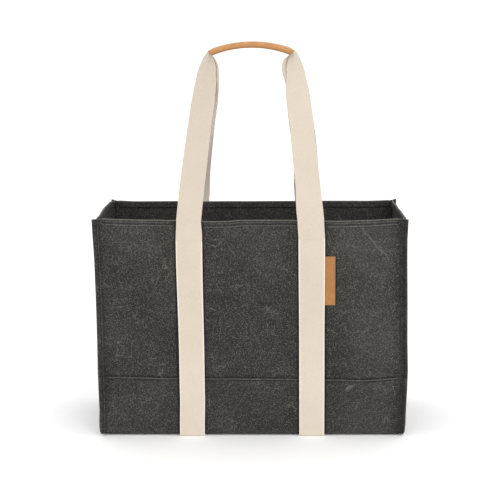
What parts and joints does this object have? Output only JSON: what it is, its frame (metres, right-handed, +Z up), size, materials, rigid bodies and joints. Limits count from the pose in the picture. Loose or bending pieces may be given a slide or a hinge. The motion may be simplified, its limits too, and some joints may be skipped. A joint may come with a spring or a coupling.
{
  "type": "market tote bag",
  "caption": "Boxy open-topped canvas tote with outward corner seams, cream webbing straps round the body that rise as handles into one leather grip, and a small plain leather tab.",
  "frame": {"origin": "middle of the bag's box at floor level, under the straps that cross below the bag", "axes": "+Z up; the front, with the leather tab, faces -Y; +X is to the right as seen from the front"},
  "size_m": [0.4488, 0.1956, 0.5722],
  "materials": {
    "canvas": "matte waxed canvas, charcoal",
    "webbing": "matte cotton webbing, cream",
    "grip_leather": "smooth natural tan leather",
    "tab_leather": "smooth natural tan leather"
  },
  "bodies": {
    "root": {"front_panel": "canvas", "back_panel": "canvas", "left_gusset": "canvas", "right_gusset": "canvas", "base_panel": "canvas", "front_strap": "webbing", "back_strap": "webbing", "grip": "grip_leather", "tab": "tab_leather"}
  },
  "joints": []
}
